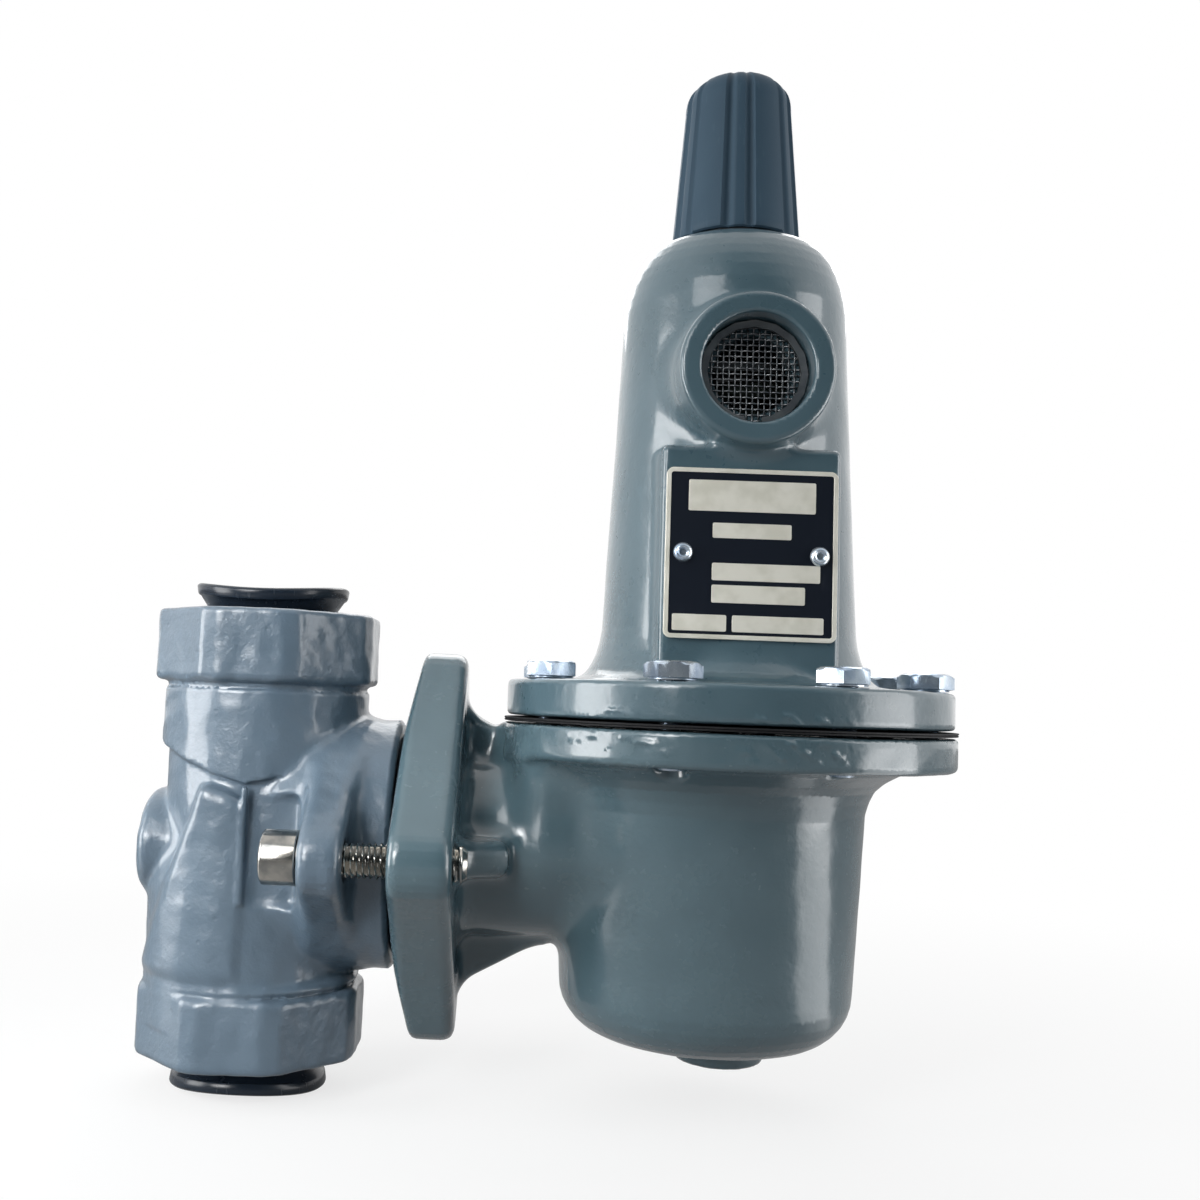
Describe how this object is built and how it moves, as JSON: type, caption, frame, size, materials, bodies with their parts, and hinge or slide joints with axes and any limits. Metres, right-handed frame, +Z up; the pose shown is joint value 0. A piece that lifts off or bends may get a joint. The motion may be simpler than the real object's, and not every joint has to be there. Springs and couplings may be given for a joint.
{
  "type": "pressure regulator",
  "caption": "Spring-loaded gas pressure regulator: a globe body with threaded ports, a diaphragm casing with a lever, and a tall spring case with a fluted cap.",
  "frame": {"origin": "centre of the lower (inlet) port's face", "axes": "+Z up along the spring case, from the inlet port towards the outlet port; +X from the valve body towards the diaphragm casing; -Y is the front with the nameplate and the vent"},
  "size_m": [0.1936, 0.1086, 0.2533],
  "materials": {
    "enamel": "glossy blue-grey enamel over a slightly rough casting",
    "slate_plastic": "satin slate-blue moulded plastic",
    "charcoal_plastic": "soft charcoal moulded plastic",
    "bright_zinc": "bright zinc plate",
    "nickel_steel": "warm satin nickel plate",
    "turned_aluminium": "turned, fine feed marks",
    "plain_steel": "plain rolled steel",
    "spring_steel": "oiled spring wire",
    "fabric_rubber": "black rubber on woven fabric",
    "nitrile": "smooth black nitrile",
    "nameplate_metal": "satin plate with a dark printed field"
  },
  "bodies": {
    "housing": {"valve_body": "enamel", "orifice": "turned_aluminium", "body_seal": "nitrile", "body_screw_front": "nickel_steel", "body_screw_rear": "nickel_steel", "diaphragm_casing": "enamel", "stem_guide": "turned_aluminium", "stem_seal": "nitrile", "lever_retainer": "plain_steel", "lever_pin": "plain_steel", "lever_screw_1": "bright_zinc", "lever_screw_2": "bright_zinc", "diaphragm": "fabric_rubber", "control_spring": "spring_steel", "spring_case": "enamel", "vent_screen": "plain_steel", "vent_snap_ring": "plain_steel", "nameplate": "nameplate_metal", "nameplate_rivet_1": "bright_zinc", "nameplate_rivet_2": "bright_zinc", "casing_screw_1": "bright_zinc", "casing_screw_2": "bright_zinc", "casing_screw_3": "bright_zinc", "casing_screw_4": "bright_zinc", "casing_screw_5": "bright_zinc", "casing_screw_6": "bright_zinc", "casing_screw_7": "bright_zinc", "casing_screw_8": "bright_zinc"},
    "inlet_cover": {"inlet_plug": "charcoal_plastic"},
    "outlet_cover": {"outlet_plug": "charcoal_plastic"},
    "cap_ring": {"cap_gasket": "nitrile"},
    "cap": {"closing_cap": "slate_plastic"},
    "upper_seat": {"upper_spring_seat": "plain_steel"},
    "screw": {"adjusting_screw": "bright_zinc"},
    "nut": {"locknut": "bright_zinc"},
    "diaphragm_group": {"diaphragm_head": "plain_steel", "lower_spring_seat": "plain_steel", "pusher_post": "turned_aluminium", "diaphragm_cap_screw": "bright_zinc"},
    "rocker": {"lever": "plain_steel"},
    "plunger": {"stem": "turned_aluminium", "disc_holder": "turned_aluminium", "valve_disc": "nitrile", "drive_pin": "plain_steel"}
  },
  "joints": [
    {"name": "inlet_plug_pull", "type": "slide", "parent": "housing", "child": "inlet_cover", "axis": [0, 0, -1], "range_m": [0, 0.03]},
    {"name": "outlet_plug_pull", "type": "slide", "parent": "housing", "child": "outlet_cover", "axis": [0, 0, 1], "range_m": [0, 0.03]},
    {"name": "cap_rise", "type": "slide", "parent": "housing", "child": "cap_ring", "axis": [0, 0, 1], "range_m": [0, 0.00926]},
    {"name": "cap_turn", "type": "hinge", "parent": "cap_ring", "child": "cap", "pos_m": [0.1124, 0, 0.2018], "axis": [0, 0, 1], "range_deg": [0, 1440]},
    {"name": "screw_travel", "type": "slide", "parent": "housing", "child": "upper_seat", "axis": [0, 0, 1], "range_m": [-0.0127, 0.00317], "deforming": ["control_spring"]},
    {"name": "screw_turn", "type": "hinge", "parent": "upper_seat", "child": "screw", "pos_m": [0.1124, 0, 0.1669], "axis": [0, 0, 1], "range_deg": [-2881, 721]},
    {"name": "locknut_turn", "type": "hinge", "parent": "housing", "child": "nut", "pos_m": [0.1124, 0, 0.211], "axis": [0, 0, 1], "range_deg": [0, 360]},
    {"name": "diaphragm_travel", "type": "slide", "parent": "housing", "child": "diaphragm_group", "axis": [0, 0, 1], "range_m": [0, 0.006], "stiffness_N_per_m": 22600, "deforming": ["control_spring", "diaphragm"]},
    {"name": "lever_swing", "type": "hinge", "parent": "housing", "child": "rocker", "pos_m": [0.088, 0, 0.036], "axis": [0, -1, 0], "range_deg": [0, 14.2]},
    {"name": "stem_travel", "type": "slide", "parent": "housing", "child": "plunger", "axis": [-1, 0, 0], "range_m": [0, 0.00348]}
  ],
  "couplings": [
    {"joint": "cap_rise", "follows": "cap_turn", "m_per_rad": 0.0003675},
    {"joint": "screw_turn", "follows": "screw_travel", "rad_per_m": 3957.9},
    {"joint": "lever_swing", "follows": "diaphragm_travel", "rad_per_m": 40.984},
    {"joint": "stem_travel", "follows": "diaphragm_travel", "ratio": 0.57787}
  ]
}
